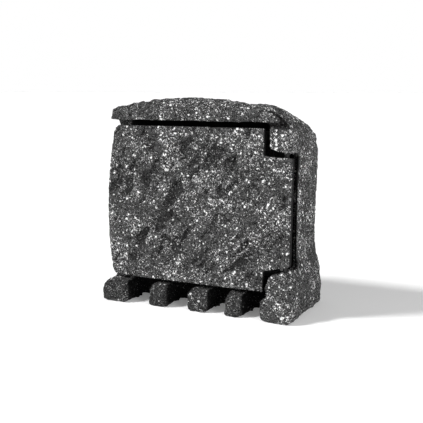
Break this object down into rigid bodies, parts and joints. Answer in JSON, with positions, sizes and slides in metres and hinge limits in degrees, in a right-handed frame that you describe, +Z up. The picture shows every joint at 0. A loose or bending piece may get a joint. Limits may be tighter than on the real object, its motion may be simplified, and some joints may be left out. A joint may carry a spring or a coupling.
{
  "type": "outdoor socket box",
  "caption": "Imitation-granite garden power box: rock-shaped shell on foot ribs with a side-hinged door over sockets with sprung splash lids.",
  "frame": {"origin": "middle of the footprint, on the ground", "axes": "+Z up, the door faces -Y, +X to the right as seen from the front"},
  "size_m": [0.2322, 0.115, 0.231],
  "materials": {
    "granite": "rough cast resin with light and dark granite flecks",
    "black_plastic": "fine moulded texture",
    "rubber": "matte",
    "brass": "satin",
    "tinned_spring": "tinned",
    "stainless": "turned",
    "black_steel": "black oxide",
    "magnet": "nickel plated",
    "white_plastic": "satin",
    "brown_sheath": "satin",
    "blue_sheath": "satin",
    "green_yellow_sheath": "satin"
  },
  "bodies": {
    "housing": {"housing_shell": "granite", "catch_magnet": "magnet", "hinge_pin_upper": "black_steel", "hinge_pin_lower": "black_steel", "socket_panel": "black_plastic", "socket_panel_seal": "rubber", "socket_panel_screws": "stainless", "rear_cover": "black_plastic", "rear_cover_seal": "rubber", "rear_cover_screws": "stainless", "gland_body": "black_plastic", "gland_locknut": "black_plastic", "gland_nut": "black_plastic", "gland_seal": "rubber", "terminal_block": "white_plastic", "terminal_screws": "brass", "wires_live": "brown_sheath", "wires_neutral": "blue_sheath", "wires_earth": "green_yellow_sheath", "socket_body_1": "black_plastic", "contact_clips_1": "brass", "earth_clips_1": "tinned_spring", "lid_pin_1": "stainless", "socket_body_2": "black_plastic", "contact_clips_2": "brass", "earth_clips_2": "tinned_spring", "lid_pin_2": "stainless", "socket_body_3": "black_plastic", "contact_clips_3": "brass", "earth_clips_3": "tinned_spring", "lid_pin_3": "stainless", "socket_body_4": "black_plastic", "contact_clips_4": "brass", "earth_clips_4": "tinned_spring", "lid_pin_4": "stainless"},
    "door": {"door_shell": "granite", "door_keeper": "stainless", "keeper_screws": "stainless"},
    "lid_1": {"socket_lid_1": "black_plastic", "lid_seal_1": "rubber", "lid_spring_1": "stainless"},
    "lid_2": {"socket_lid_2": "black_plastic", "lid_seal_2": "rubber", "lid_spring_2": "stainless"},
    "lid_3": {"socket_lid_3": "black_plastic", "lid_seal_3": "rubber", "lid_spring_3": "stainless"},
    "lid_4": {"socket_lid_4": "black_plastic", "lid_seal_4": "rubber", "lid_spring_4": "stainless"}
  },
  "joints": [
    {"name": "door_hinge", "type": "hinge", "parent": "housing", "child": "door", "pos_m": [0.101, -0.033, 0.114], "axis": [0, 0, 1], "range_deg": [0, 105]},
    {"name": "lid_hinge_1", "type": "hinge", "parent": "housing", "child": "lid_1", "pos_m": [-0.044, 0.0144, 0.1016], "axis": [-1, 0, 0], "range_deg": [0, 95], "stiffness_Nm_per_rad": 0.02, "springref_deg": -20.05},
    {"name": "lid_hinge_2", "type": "hinge", "parent": "housing", "child": "lid_2", "pos_m": [0.04, 0.0144, 0.1016], "axis": [-1, 0, 0], "range_deg": [0, 95], "stiffness_Nm_per_rad": 0.02, "springref_deg": -20.05},
    {"name": "lid_hinge_3", "type": "hinge", "parent": "housing", "child": "lid_3", "pos_m": [-0.044, 0.0144, 0.1756], "axis": [-1, 0, 0], "range_deg": [0, 95], "stiffness_Nm_per_rad": 0.02, "springref_deg": -20.05},
    {"name": "lid_hinge_4", "type": "hinge", "parent": "housing", "child": "lid_4", "pos_m": [0.04, 0.0144, 0.1756], "axis": [-1, 0, 0], "range_deg": [0, 95], "stiffness_Nm_per_rad": 0.02, "springref_deg": -20.05}
  ]
}
